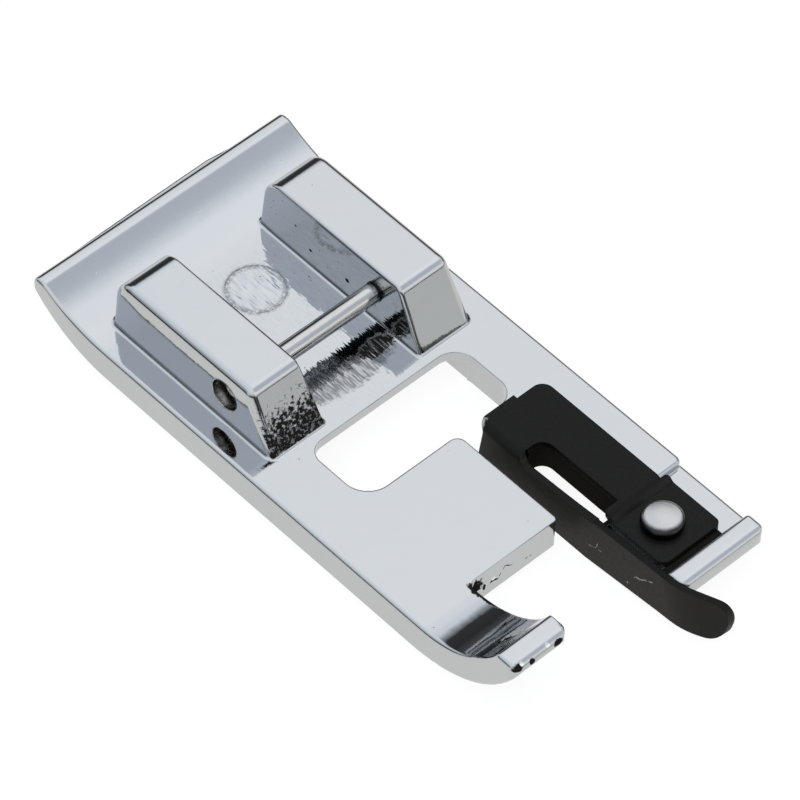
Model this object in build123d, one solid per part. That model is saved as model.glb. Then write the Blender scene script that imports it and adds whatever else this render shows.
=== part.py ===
from build123d import *
import math
import os

# Clip-on presser foot with an edge guide. Millimetres, real size.
# +X is the operator's right, +Y the back of the machine, +Z up; the toes point to -Y.
# Origin: on the underside of the flat sole, straight below the middle of the snap pin.

# Sole plate
sole_width = 18.68
sole_thickness = 2.2
sole_half = sole_width / 2
side_edge_r = 0.25

# Rear end of the sole, curled up like a ski
heel_flat_end_y = 7.8
heel_under_r = 8.5
heel_top_r = 10.0
heel_lip_top_z = 3.6
heel_lip_width = 0.85
heel_end_y = 13.95
heel_nose_r = 0.45
heel_lip_r = 0.6

# Gate remnant: a shallow swelling on the rear end that grows from the left and stops short of the right side
swell_left_x = -8.5
swell_mid_x = -1.9
swell_mid_depth = 0.16
swell_peak_x = 3.9
swell_peak_depth = 0.225
swell_right_x = 5.9
swell_bottom_z = 2.85
swell_top_z = 3.2

# Left toe, curled up steeply and cut off level
toe_inner_x = -5.35
toe_flat_end_y = -17.2
toe_under_r = 8.6
toe_top_start_y = -17.9
toe_top_r = 6.4
toe_end_z = 5.55
toe_corner_r = 0.6
toe_tip_r = 0.5
toe_inner_tip_r = 0.3
toe_tip_rise = toe_under_r - toe_end_z + toe_tip_r
toe_front_y = toe_flat_end_y - math.sqrt((toe_under_r - toe_tip_r) ** 2 - toe_tip_rise ** 2) - toe_tip_r

# Tongue in front of the needle opening
tongue_right_x = 1.34
tongue_front_y = -17.3
tongue_rear_corner_r = 0.6
tongue_front_corner_r = 0.25
toe_root_corner_r = 0.5

# Needle opening
opening_left_x = -5.55
opening_right_x = 5.73
opening_rear_y = -4.62
opening_front_y = -9.4
opening_rear_left_r = 1.1
opening_rear_right_r = 1.4
opening_front_left_r = 1.6
opening_front_right_r = 1.2

# Stitch relief under the sole, behind the needle opening
relief_land = 0.68
relief_back_y = 6.0

# Right rail that carries the guide
rail_front_y = -25.35
rail_curl_start_y = -21.5
rail_front_under_z = 1.15
rail_step_y = -18.9
rail_low_z = 1.7
rail_groove_end_y = -23.95
rail_lip_z = 2.3
rail_lip_front_r = 0.5
rail_lip_rear_r = 0.27
rail_under_front_r = 0.3
rail_front_corner_r = 0.55
rail_inner_corner_r = 0.7
rail_step_corner_r = 0.4
rail_fold_chamfer = 0.2
notch_right_x = 4.8
notch_rear_y = -12.65
notch_front_y = rail_step_y
notch_rear_r = 0.8
notch_front_r = 0.5
small_corner_r = 0.2

# Two posts that hold the snap pin
post_inner_base_x = 3.55
post_inner_top_x = 3.78
post_outer_base_x = 7.54
post_outer_top_x = 7.41
post_top_z = 6.04
post_root_z = 1.2
post_rear_base_y = 9.36
post_rear_top_y = 9.14
post_front_base_y = -4.0
post_front_top_y = -1.91
post_rear_top_r = 1.4
post_front_top_r = 0.63
post_outer_edge_r = 0.48
post_inner_edge_r = 0.22
post_foot_r = 0.2

# Snap pin
pin_r = 0.61
pin_z = 4.26
pin_clearance = 0.01
pin_left_x = -6.9
pin_right_x = 6.3
pin_end_chamfer = 0.1
pin_mouth_r = 1.0
pin_mouth_depth = 0.9

# Round witness mark on the floor between the posts
witness_x = 0.1
witness_y = 5.8
witness_r = 1.75
witness_height = 0.03

# Guide, folded from sheet steel
sheet = 0.45
fold_inner_r = 0.25
wall_lean = 9.5
wall_top_x = 3.0
wall_bottom_z = -0.5
wall_clearance = 0.12
rail_left_x = wall_top_x + wall_clearance
plate_right_x = 7.29
plate_rear_y = -9.93
plate_rear_left_y = -9.65
plate_step_x = 5.3
plate_rear_corner_r = 0.75
fold_rear_y = -9.62
wall_rear_y = -10.1
wall_rear_z = 2.1
slot_right_x = 4.44
slot_rear_y = -12.9
slot_rear_r = 0.8
slot_end_margin = 0.1
slot_front_y = rail_step_y + slot_end_margin
slot_cut_z = 1.9
slot_fold_r = 0.75
wall_top_climb = 0.04
joggle_gap = 0.08
joggle_r = 0.3
tab_left_x = 3.38
tab_right_x = 7.85
tab_front_y = -23.42
tab_corner_r = 0.4
tab_left_corner_r = 0.6
tab_ear_y = -19.2
tab_ear_r = 0.3

# Finger at the front of the guide, flared to the right
finger_flare_start_y = -24.3
finger_flare_r = 3.0
finger_flare_angle = 30.0
finger_tip_y = -28.15
finger_strip_length = 6.0
finger_tip_top_r = 1.1
finger_tip_bottom_r = 0.85
finger_axis_tilt = 26.6
finger_bottom_climb = 0.08
finger_top_drop = 0.34
finger_bottom_drop = 0.1

# Rivet
rivet_x = 5.42
rivet_y = -21.29
rivet_head_r = 1.26
rivet_rim = 0.55
rivet_crown = 0.18
rivet_shoulder_r = 0.3
rivet_shank_r = 0.7
rivet_clearance = 0.02
rivet_tail_recess = 0.05

over = 1.0
hair = 0.01
joint_gap = 1e-6


def outline(*pieces):
    """Closed face from corners (a, b) or (a, b, radius) and arcs, joined by straight lines."""
    def start_of(piece):
        return piece @ 0 if isinstance(piece, Edge) else Vector(piece[0], piece[1])

    def end_of(piece):
        return piece @ 1 if isinstance(piece, Edge) else Vector(piece[0], piece[1])

    edges = []
    spans = []
    count = len(pieces)
    for i, piece in enumerate(pieces):
        if isinstance(piece, Edge):
            edges.append(piece)
            spans.append((piece @ 0, piece @ 1))
            continue
        corner = Vector(piece[0], piece[1])
        radius = piece[2] if len(piece) > 2 else 0
        if radius <= 0:
            spans.append((corner, corner))
            continue
        back = (end_of(pieces[i - 1]) - corner).normalized()
        ahead = (start_of(pieces[(i + 1) % count]) - corner).normalized()
        half = math.radians(back.get_angle(ahead)) / 2
        begin = corner + back * (radius / math.tan(half))
        finish = corner + ahead * (radius / math.tan(half))
        middle = corner + (back + ahead).normalized() * (radius / math.sin(half) - radius)
        edges.append(ThreePointArc(begin, middle, finish))
        spans.append((begin, finish))
    for i in range(count):
        tail = spans[i][1]
        head = spans[(i + 1) % count][0]
        if (head - tail).length > joint_gap:
            edges.append(Line(tail, head))
    return make_face(edges)


def across(face, x_low, x_high):
    """Side outline in (y, z) pushed out along X."""
    return extrude(Plane.YZ.offset(x_low) * face, amount=x_high - x_low, dir=(1, 0, 0))


def upward(face, z_low, z_high):
    """Plan outline in (x, y) pushed up along Z."""
    return extrude(Plane.XY.offset(z_low) * face, amount=z_high - z_low, dir=(0, 0, 1))


def lengthways(face, y_low, y_high):
    """Front outline in (x, z) pushed along Y."""
    return extrude(Plane.XZ.offset(-y_high) * face, amount=y_high - y_low, dir=(0, -1, 0))


def along_x(radius, x_low, x_high, y, z):
    """Round bar along X."""
    bar = Cylinder(radius, x_high - x_low)
    return Pos((x_low + x_high) / 2, y, z) * Rot(0, 90, 0) * bar


def rounded_at(face, a, b, radius):
    """The face with its corner nearest to (a, b) rounded."""
    corner = face.vertices().sort_by_distance((a, b, 0))[0]
    return fillet(corner, radius)


def corner_loss(x, y, inward_x, inward_y, radius):
    """What a corner of the plan loses when it is rounded."""
    side = radius + over
    middle_x = x + inward_x * (radius - over) / 2
    middle_y = y + inward_y * (radius - over) / 2
    height = 2 * (toe_end_z + over)
    block = Pos(middle_x, middle_y, 0) * Box(side, side, height)
    disc = Pos(x + inward_x * radius, y + inward_y * radius, 0) * Cylinder(radius, height)
    return block - disc


def soften_side(part, direction, radius):
    """The part with every edge of its outermost side face rounded."""
    side = part.faces().sort_by(Axis.X)[-1 if direction > 0 else 0]
    return fillet(side.edges(), radius)


def heel_edges():
    """Under and top arcs of the curled heel, and the height where the under arc ends."""
    under_sweep = math.asin((heel_end_y - heel_flat_end_y) / heel_under_r)
    top_z = sole_thickness + heel_top_r
    top_sweep = math.acos((top_z - heel_lip_top_z) / heel_top_r)
    top_start_y = heel_end_y - heel_lip_width - heel_top_r * math.sin(top_sweep)
    sweep = math.degrees(top_sweep)
    under = CenterArc((heel_flat_end_y, heel_under_r), heel_under_r, -90, math.degrees(under_sweep))
    top = CenterArc((top_start_y, top_z), heel_top_r, -90 + sweep, -sweep)
    return under, top, heel_under_r * (1 - math.cos(under_sweep))


def soften_heel(face, under_end_z, lip_start_y):
    """The side outline with its heel nose and the inner edge of its lip rounded."""
    face = rounded_at(face, heel_end_y, under_end_z, heel_nose_r)
    face = rounded_at(face, heel_end_y, heel_lip_top_z, heel_nose_r)
    return rounded_at(face, lip_start_y, heel_lip_top_z, heel_lip_r)


def make_left_half():
    """Left half of the sole: curled heel, flat middle and steep toe."""
    heel_under, heel_top, heel_under_end_z = heel_edges()
    toe_top_z = sole_thickness + toe_top_r
    toe_under_sweep = math.acos((toe_under_r - toe_end_z) / toe_under_r)
    toe_top_sweep = math.acos((toe_top_z - toe_end_z) / toe_top_r)
    toe_outer_y = toe_flat_end_y - toe_under_r * math.sin(toe_under_sweep)
    toe_inner_y = toe_top_start_y - toe_top_r * math.sin(toe_top_sweep)
    toe_under = CenterArc((toe_flat_end_y, toe_under_r), toe_under_r, -90 - math.degrees(toe_under_sweep),
                          math.degrees(toe_under_sweep))
    toe_top = CenterArc((toe_top_start_y, toe_top_z), toe_top_r, -90, -math.degrees(toe_top_sweep))
    side = outline(
        toe_under,
        heel_under,
        (heel_end_y, heel_lip_top_z),
        heel_top,
        toe_top,
    )
    side = soften_heel(side, heel_under_end_z, (heel_top @ 0).X)
    side = rounded_at(side, toe_outer_y, toe_end_z, toe_tip_r)
    side = rounded_at(side, toe_inner_y, toe_end_z, toe_inner_tip_r)
    return soften_side(across(side, -sole_half, 0), -1, side_edge_r)


def make_right_half():
    """Right half of the sole, from the curled heel to the step down to the rail's low land."""
    heel_under, heel_top, heel_under_end_z = heel_edges()
    side = outline(
        (rail_step_y, 0),
        heel_under,
        (heel_end_y, heel_lip_top_z),
        heel_top,
        (rail_step_y, sole_thickness),
    )
    side = soften_heel(side, heel_under_end_z, (heel_top @ 0).X)
    half = across(side, 0, sole_half)
    front = half.faces().sort_by(Axis.Y)[0]
    half = fillet(front.edges().sort_by(Axis.X)[-1], rail_step_corner_r)
    return soften_side(half, 1, side_edge_r)


def make_rail_front():
    """Low land that carries the guide's tab, with the raised lip across its front end."""
    curl_length = rail_curl_start_y - rail_front_y
    curl_r = (curl_length ** 2 + rail_front_under_z ** 2) / (2 * rail_front_under_z)
    curl_sweep = math.degrees(math.asin(curl_length / curl_r))
    curl = CenterArc((rail_curl_start_y, curl_r), curl_r, -90 - curl_sweep, curl_sweep)
    low_side = outline(
        curl,
        (opening_front_y, 0),
        (opening_front_y, rail_low_z),
        (rail_front_y, rail_low_z),
    )
    lip_side = outline(
        (rail_groove_end_y, rail_front_under_z),
        (rail_groove_end_y, rail_lip_z),
        (rail_front_y, rail_lip_z),
        (rail_front_y, rail_front_under_z),
    )
    low_side = rounded_at(low_side, rail_front_y, rail_front_under_z, rail_under_front_r)
    lip_side = rounded_at(lip_side, rail_front_y, rail_lip_z, rail_lip_front_r)
    lip_side = rounded_at(lip_side, rail_groove_end_y, rail_lip_z, rail_lip_rear_r)
    lip_side = rounded_at(lip_side, rail_front_y, rail_front_under_z, rail_under_front_r)
    low = soften_side(across(low_side, rail_left_x, sole_half), 1, side_edge_r)
    lip = soften_side(across(lip_side, rail_left_x, sole_half), 1, side_edge_r)
    return low + lip


def make_sole():
    """Sole plate with its curled heel, steep left toe, tongue and stepped right rail."""
    plate = make_left_half() + make_right_half() + make_rail_front()
    gap = outline(
        (toe_inner_x, rail_front_y - over),
        (toe_inner_x, tongue_front_y, toe_root_corner_r),
        (tongue_right_x, tongue_front_y, tongue_front_corner_r),
        (tongue_right_x, opening_front_y, tongue_rear_corner_r),
        (opening_left_x, opening_front_y, opening_front_left_r),
        (opening_left_x, opening_rear_y, opening_rear_left_r),
        (opening_right_x, opening_rear_y, opening_rear_right_r),
        (opening_right_x, opening_front_y, opening_front_right_r),
        (rail_left_x, opening_front_y, small_corner_r),
        (rail_left_x, notch_rear_y, small_corner_r),
        (notch_right_x, notch_rear_y, notch_rear_r),
        (notch_right_x, notch_front_y, notch_front_r),
        (rail_left_x, notch_front_y, small_corner_r),
        (rail_left_x, rail_front_y - over),
    )
    plate -= upward(gap, -over, toe_end_z + over)
    plate -= corner_loss(-sole_half, toe_front_y, 1, 1, toe_corner_r)
    plate -= corner_loss(toe_inner_x, toe_front_y, -1, 1, toe_corner_r)
    plate -= corner_loss(rail_left_x, rail_front_y, 1, 1, rail_inner_corner_r)
    plate -= corner_loss(sole_half, rail_front_y, -1, 1, rail_front_corner_r)
    fold_room = outline(
        (rail_left_x - over, sole_thickness - rail_fold_chamfer),
        (rail_left_x, sole_thickness - rail_fold_chamfer),
        (rail_left_x + rail_fold_chamfer, sole_thickness),
        (rail_left_x + rail_fold_chamfer, sole_thickness + over),
        (rail_left_x - over, sole_thickness + over),
    )
    return plate - lengthways(fold_room, notch_rear_y, opening_front_y + small_corner_r)


def post_size(base, top, z):
    """Where a drafted post face lies at height z."""
    return base + (top - base) * (z - sole_thickness) / (post_top_z - sole_thickness)


def make_post():
    """Right post: drafted on all sides, its top edges round, its outer edges softer than the inner ones."""
    side = outline(
        (post_size(post_rear_base_y, post_rear_top_y, post_root_z), post_root_z),
        (post_rear_top_y, post_top_z, post_rear_top_r),
        (post_front_top_y, post_top_z, post_front_top_r),
        (post_size(post_front_base_y, post_front_top_y, post_root_z), post_root_z),
    )
    front = outline(
        (post_size(post_inner_base_x, post_inner_top_x, post_root_z), post_root_z),
        (post_size(post_outer_base_x, post_outer_top_x, post_root_z), post_root_z),
        (post_outer_top_x, post_top_z),
        (post_inner_top_x, post_top_z),
    )
    post = across(side, 0, sole_half) & lengthways(front, post_front_base_y - over, post_rear_base_y + over)
    outer = post.faces().sort_by(Axis.X)[-1]
    post = fillet([e for e in outer.edges() if e.center().Z > post_root_z + hair], post_outer_edge_r)
    inner = post.faces().sort_by(Axis.X)[0]
    return fillet([e for e in inner.edges() if e.center().Z > post_root_z + hair], post_inner_edge_r)


def at_post_foot(edge):
    """True for an edge where a post meets the plate."""
    box = edge.bounding_box()
    near_inside = min(abs(box.min.X), abs(box.max.X)) > post_inner_base_x - hair
    near_outside = max(abs(box.min.X), abs(box.max.X)) < post_outer_base_x + hair
    near_ends = box.min.Y > post_front_base_y - hair and box.max.Y < post_rear_base_y + hair
    low = box.min.Z > sole_thickness - hair and box.max.Z < sole_thickness + post_foot_r
    return near_inside and near_outside and near_ends and low


def make_foot_body():
    """One casting: sole, posts, rear bulge, witness mark, relief and bores."""
    body = make_sole()
    post = make_post()
    body += post
    body += mirror(post, Plane.YZ)
    body = fillet(body.edges().filter_by(at_post_foot), post_foot_r)

    relief = outline(
        (opening_rear_y - over, -over),
        (opening_rear_y - over, sole_thickness - relief_land),
        (opening_rear_y, sole_thickness - relief_land),
        (relief_back_y, 0),
        (relief_back_y, -over),
    )
    body -= across(relief, opening_left_x, opening_right_x)

    swell = outline(
        ThreePointArc(
            (swell_left_x, heel_end_y),
            (swell_mid_x, heel_end_y + swell_mid_depth),
            (swell_peak_x, heel_end_y + swell_peak_depth),
        ),
        (swell_right_x, heel_end_y),
        (swell_right_x, heel_end_y - over),
        (swell_left_x, heel_end_y - over),
    )
    body += upward(swell, swell_bottom_z, swell_top_z)

    mark = Pos(witness_x, witness_y, sole_thickness) * Cylinder(witness_r, 2 * witness_height)
    body += mark

    hole_r = pin_r + pin_clearance
    body -= along_x(hole_r, pin_left_x, pin_right_x, 0, pin_z)
    post_face_x = post_size(post_outer_base_x, post_outer_top_x, pin_z)
    body -= along_x(pin_mouth_r, -post_outer_base_x - over, -post_face_x + pin_mouth_depth, 0, pin_z)

    rivet_hole = Pos(rivet_x, rivet_y, 0) * Cylinder(rivet_shank_r + rivet_clearance, 4 * sole_thickness)
    body -= rivet_hole
    return body


def make_pin():
    """Snap pin, pressed in from the left and seated in the right post."""
    pin = along_x(pin_r, pin_left_x, pin_right_x, 0, pin_z)
    return chamfer(pin.edges().filter_by(GeomType.CIRCLE), pin_end_chamfer)


def make_guide():
    """Plate on the rail with its fold, leaning wall and slot."""
    lean = math.radians(wall_lean)
    plate_top_z = sole_thickness + sheet
    fold_x = wall_top_x + fold_inner_r * math.cos(lean)
    fold_z = sole_thickness - fold_inner_r
    fold_outer_r = fold_inner_r + sheet
    fold_sweep = 90 - wall_lean

    def on_wall(radius, drop):
        """Point on the wall: radius from the fold centre, then drop down the leaning face."""
        x = fold_x - radius * math.cos(lean) - drop * math.sin(lean)
        z = fold_z + radius * math.sin(lean) - drop * math.cos(lean)
        return (x, z)

    wall_length = (fold_z + fold_inner_r * math.sin(lean) - wall_bottom_z) / math.cos(lean)
    section = outline(
        (plate_right_x + over, sole_thickness),
        (plate_right_x + over, plate_top_z),
        CenterArc((fold_x, fold_z), fold_outer_r, 90, fold_sweep),
        on_wall(fold_outer_r, wall_length),
        on_wall(fold_inner_r, wall_length),
        CenterArc((fold_x, fold_z), fold_inner_r, 90 + fold_sweep, -fold_sweep),
    )
    folded = lengthways(section, slot_front_y, fold_rear_y)
    plan = outline(
        (wall_top_x - 3 * over, plate_rear_left_y),
        (plate_step_x, plate_rear_left_y),
        (plate_step_x, plate_rear_y),
        (plate_right_x, plate_rear_y, plate_rear_corner_r),
        (plate_right_x, slot_front_y),
        (wall_top_x - 3 * over, slot_front_y),
    )
    folded = folded & upward(plan, wall_bottom_z - over, plate_top_z + over)
    fold_end = outline(
        (fold_rear_y, plate_top_z),
        (wall_rear_y, wall_rear_z),
        (wall_rear_y, wall_bottom_z - over),
        (fold_rear_y + over, wall_bottom_z - over),
        (fold_rear_y + over, plate_top_z),
    )
    folded -= across(fold_end, wall_top_x - 3 * over, fold_x)
    slot = outline(
        (fold_x, slot_rear_y),
        (slot_right_x, slot_rear_y, slot_rear_r),
        (slot_right_x, slot_front_y - over),
        (fold_x, slot_front_y - over),
    )
    folded -= upward(slot, slot_cut_z, plate_top_z + over)
    climb = wall_top_climb * (slot_rear_y - slot_front_y + over)
    fold_cut = outline(
        (slot_rear_y, plate_top_z + over),
        (slot_rear_y, slot_cut_z, slot_fold_r),
        (slot_front_y - over, slot_cut_z + climb),
        (slot_front_y - over, plate_top_z + over),
    )
    return folded - across(fold_cut, wall_top_x - 3 * over, fold_x)


def make_tab():
    """Joggled tab in front of the plate, lying on the lower rail."""
    drop = sole_thickness - rail_low_z
    shift = sheet * math.tan(math.radians(45) / 2)
    bend_y = rail_step_y - joggle_gap
    plate_top_z = sole_thickness + sheet
    tab_top_z = rail_low_z + sheet
    side = outline(
        (slot_front_y + over, sole_thickness),
        (bend_y, sole_thickness, joggle_r),
        (bend_y - drop, rail_low_z, joggle_r + sheet),
        (tab_front_y, rail_low_z),
        (tab_front_y, tab_top_z),
        (bend_y - drop - shift, tab_top_z, joggle_r),
        (bend_y - shift, plate_top_z, joggle_r + sheet),
        (slot_front_y + over, plate_top_z),
    )
    tab = across(side, tab_left_x, tab_right_x)
    plan = outline(
        (slot_right_x, slot_front_y + over),
        (slot_right_x, slot_front_y),
        (tab_left_x, slot_front_y, small_corner_r),
        (tab_left_x, tab_front_y, tab_left_corner_r),
        (tab_right_x, tab_front_y, tab_corner_r),
        (tab_right_x, tab_ear_y, tab_ear_r),
        (plate_right_x, tab_ear_y),
        (plate_right_x, slot_front_y + over),
    )
    return tab & upward(plan, -over, plate_top_z + over)


def make_finger():
    """Finger: the wall carried forward in its own leaning plane, flared about a tilted line."""
    lean = math.radians(wall_lean)
    flare = math.radians(finger_flare_angle)
    inner_r = finger_flare_r
    outer_r = finger_flare_r + sheet

    def past_bend(radius):
        """Far end of one face of the strip, beyond the bend."""
        x = inner_r - radius * math.cos(flare) + finger_strip_length * math.sin(flare)
        y = -radius * math.sin(flare) - finger_strip_length * math.cos(flare)
        return (x, y)

    reach = 3 * finger_strip_length
    strip = outline(
        (-sheet, reach),
        CenterArc((inner_r, 0), outer_r, 180, finger_flare_angle),
        past_bend(outer_r),
        past_bend(inner_r),
        CenterArc((inner_r, 0), inner_r, 180 + finger_flare_angle, -finger_flare_angle),
        (0, reach),
    )
    strip = Pos(0, finger_flare_start_y, 0) * Rot(-finger_axis_tilt, 0, 0) * upward(strip, -reach, reach)

    def height(y):
        """Height of the climbing top edge above the slot's cut, along the leaning wall."""
        return wall_top_climb * (slot_rear_y - y) / math.cos(lean)

    depth = (slot_cut_z - wall_bottom_z) / math.cos(lean)
    bend_bottom = finger_bottom_climb * (slot_front_y - finger_flare_start_y) - depth
    tip_bottom = finger_bottom_climb * (slot_front_y - finger_tip_y) - depth - finger_bottom_drop
    tip_top = height(finger_tip_y) - finger_top_drop
    joint_y = slot_front_y + over
    side = outline(
        (joint_y, -depth),
        (slot_front_y, -depth),
        (finger_flare_start_y, bend_bottom),
        (finger_tip_y, tip_bottom, finger_tip_bottom_r),
        (finger_tip_y, tip_top, finger_tip_top_r),
        (finger_flare_start_y, height(finger_flare_start_y)),
        (slot_front_y, height(slot_front_y)),
        (slot_front_y, height(slot_front_y) - sheet),
        (joint_y, height(slot_front_y) - sheet),
    )
    finger = strip & across(side, -reach, reach)
    cut_depth = sole_thickness - slot_cut_z - fold_inner_r * (1 - math.sin(lean))
    wall_x = wall_top_x - cut_depth * math.tan(lean)
    return Pos(wall_x, 0, slot_cut_z) * Rot(0, wall_lean, 0) * finger


def make_edge_guide():
    """The whole stamped guide with its rivet hole."""
    guide = make_guide() + make_tab() + make_finger()
    hole = Pos(rivet_x, rivet_y, sole_thickness) * Cylinder(rivet_shank_r + rivet_clearance, 2 * over)
    return guide - hole


def make_rivet():
    """Domed rivet through the tab and the rail, flush below."""
    head_z = rail_low_z + sheet
    top_z = head_z + rivet_rim + rivet_crown
    rim_z = head_z + rivet_rim
    dome_r = (rivet_head_r ** 2 + rivet_crown ** 2) / (2 * rivet_crown)
    sweep = math.degrees(math.asin(rivet_head_r / dome_r))
    half = outline(
        (0, rivet_tail_recess),
        (rivet_shank_r, rivet_tail_recess),
        (rivet_shank_r, head_z),
        (rivet_head_r, head_z),
        CenterArc((0, top_z - dome_r), dome_r, 90 - sweep, sweep),
    )
    half = rounded_at(half, rivet_head_r, rim_z, rivet_shoulder_r)
    return Pos(rivet_x, rivet_y, 0) * revolve(Plane.XZ * half, Axis.Z)


nodes = {
    "foot_body": make_foot_body(),
    "snap_pin": make_pin(),
    "edge_guide": make_edge_guide(),
    "guide_rivet": make_rivet(),
}

os.makedirs("parts", exist_ok=True)
for name, shape in nodes.items():
    solids = shape.solids()
    if len(solids) != 1:
        raise ValueError(f"{name} came out as {len(solids)} solids")
    export_step(solids[0], f"parts/{name}.step")
    print(name, round(shape.volume, 2), shape.bounding_box())
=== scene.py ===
import math

import bpy
from mathutils import Matrix, Vector


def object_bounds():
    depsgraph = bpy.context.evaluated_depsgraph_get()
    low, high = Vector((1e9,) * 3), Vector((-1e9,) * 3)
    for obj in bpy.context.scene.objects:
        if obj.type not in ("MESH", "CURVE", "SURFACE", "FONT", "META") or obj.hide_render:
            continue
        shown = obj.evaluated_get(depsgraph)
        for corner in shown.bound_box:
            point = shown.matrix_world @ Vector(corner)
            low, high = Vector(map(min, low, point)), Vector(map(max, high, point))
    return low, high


bl_info = {
    "name": "Presser foot with edge guide",
    "version": (1, 0, 0),
    "blender": (4, 5, 0),
    "location": "3D View > Sidebar > Presser foot",
    "description": "Finishes, stage and camera for a clip-on presser foot with a folded edge guide",
    "category": "Object",
}

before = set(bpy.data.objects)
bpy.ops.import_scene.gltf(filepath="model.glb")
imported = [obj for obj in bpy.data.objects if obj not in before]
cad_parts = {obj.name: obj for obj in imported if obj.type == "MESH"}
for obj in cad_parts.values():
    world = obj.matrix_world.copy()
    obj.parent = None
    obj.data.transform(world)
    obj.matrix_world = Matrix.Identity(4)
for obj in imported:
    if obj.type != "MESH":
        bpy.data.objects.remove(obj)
cad_low, cad_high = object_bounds()
MM = 0.001


# Small helpers for node trees


def fill(tree, made, links):
    """Inputs of a node: a socket is linked, anything else is a value."""
    for key, value in links.items():
        if isinstance(value, bpy.types.NodeSocket):
            tree.links.new(value, made.inputs[key])
        else:
            made.inputs[key].default_value = value


def add_node(tree, kind, links=None, **settings):
    """A new node with its settings and inputs."""
    made = tree.nodes.new(kind)
    for name, value in settings.items():
        setattr(made, name, value)
    fill(tree, made, links or {})
    return made


def calc(tree, operation, first, second=0.0, third=0.0, clamp=False):
    """One Math node; returns its output."""
    links = {0: first, 1: second, 2: third}
    return add_node(tree, "ShaderNodeMath", links, operation=operation, use_clamp=clamp).outputs[0]


def vector_calc(tree, operation, first, second=(0.0, 0.0, 0.0), output=0):
    """One Vector Math node with two vectors; returns its output."""
    made = add_node(tree, "ShaderNodeVectorMath", {0: first, 1: second}, operation=operation)
    return made.outputs[output]


def scaled(tree, vector, factor):
    """A vector times a number; returns its output."""
    return add_node(tree, "ShaderNodeVectorMath", {0: vector, "Scale": factor}, operation="SCALE").outputs[0]


def noise(tree, place, scale, detail, roughness=0.5):
    """One Noise Texture node; returns the node."""
    links = {"Vector": place, "Scale": scale, "Detail": detail, "Roughness": roughness}
    return add_node(tree, "ShaderNodeTexNoise", links)


def blend(tree, factor, first, second):
    """Colour mix of two colours; returns its output."""
    links = {0: factor, 6: first, 7: second}
    return add_node(tree, "ShaderNodeMix", links, data_type="RGBA").outputs[2]


def fade(tree, value, low, high, out_low=0.0, out_high=1.0):
    """Smooth step of a value from one range to another; returns its output."""
    links = {"Value": value, "From Min": low, "From Max": high, "To Min": out_low, "To Max": out_high}
    return add_node(tree, "ShaderNodeMapRange", links, interpolation_type="SMOOTHSTEP").outputs[0]


def millimetres(tree):
    """Object coordinates in millimetres, so that every size in a material reads in millimetres."""
    return scaled(tree, add_node(tree, "ShaderNodeTexCoord").outputs["Object"], 1 / MM)


def new_group(name, inputs, outputs):
    """An empty shader node group with its sockets; returns the tree, its input node and its output node."""
    tree = bpy.data.node_groups.new(name, "ShaderNodeTree")
    for label, kind, default in inputs:
        socket = tree.interface.new_socket(label, in_out="INPUT", socket_type=kind)
        if default is not None:
            socket.default_value = default
    for label, kind in outputs:
        tree.interface.new_socket(label, in_out="OUTPUT", socket_type=kind)
    return tree, tree.nodes.new("NodeGroupInput"), tree.nodes.new("NodeGroupOutput")


def use_group(tree, group, links):
    """A node group placed in a material with its own values."""
    made = tree.nodes.new("ShaderNodeGroup")
    made.node_tree = group
    fill(tree, made, links)
    return made


# Shared effects. Places, sizes and widths are in millimetres.


# Mean of a noise colour, taken off so that the noise sways both ways
MIDDLE_GREY = (0.5, 0.5, 0.5)
# How much finer the ripples on the slow waves are
FINER = 5.0
# Scratches: grain of the noise that bends them, the noise level above which a crest shows when the amount
# is 0, the change of that level when it is 1, and the soft rim above it
SCRATCH_BEND = 0.5
CREST_LEVEL, CREST_CHANGE, CREST_RIM = 0.85, -0.25, 0.06
# Blobs: grain of the ragged rim, and where the mask is 0 and 1 as shares of the reach
BLOB_GRAIN = 5.0
BLOB_OUTSIDE, BLOB_INSIDE = 1.15, 0.85
# Half width of a box's soft rim
SLAB_RIM = 0.02
# Single scratches: grain and size of their sideways wander, and the share of the width that is full
WANDER_GRAIN, WANDER = 2.0, 0.25
STROKE_CORE = 0.4
# Polishing strokes: features per millimetre across, along and up, and how far each way they tilt
BRUSH_GRAIN = (9.0, 1.1, 3.0)
BRUSH_LEAN = (0.5, 1.0, 0.0)


def ripple_group():
    """Slow waviness of a surface, with finer ripples on it."""
    inputs = [
        ("Vector", "NodeSocketVector", None),
        ("Scale", "NodeSocketFloat", 0.6),
        ("Fine", "NodeSocketFloat", 0.2),
    ]
    tree, given, put = new_group("surface_ripple", inputs, [("Height", "NodeSocketFloat")])
    slow = noise(tree, given.outputs["Vector"], given.outputs["Scale"], detail=1.0)
    fine_scale = calc(tree, "MULTIPLY", given.outputs["Scale"], FINER)
    fine = noise(tree, given.outputs["Vector"], fine_scale, detail=2.0)
    height = calc(tree, "MULTIPLY_ADD", fine.outputs["Fac"], given.outputs["Fine"], slow.outputs["Fac"])
    tree.links.new(height, put.inputs["Height"])
    return tree


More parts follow.
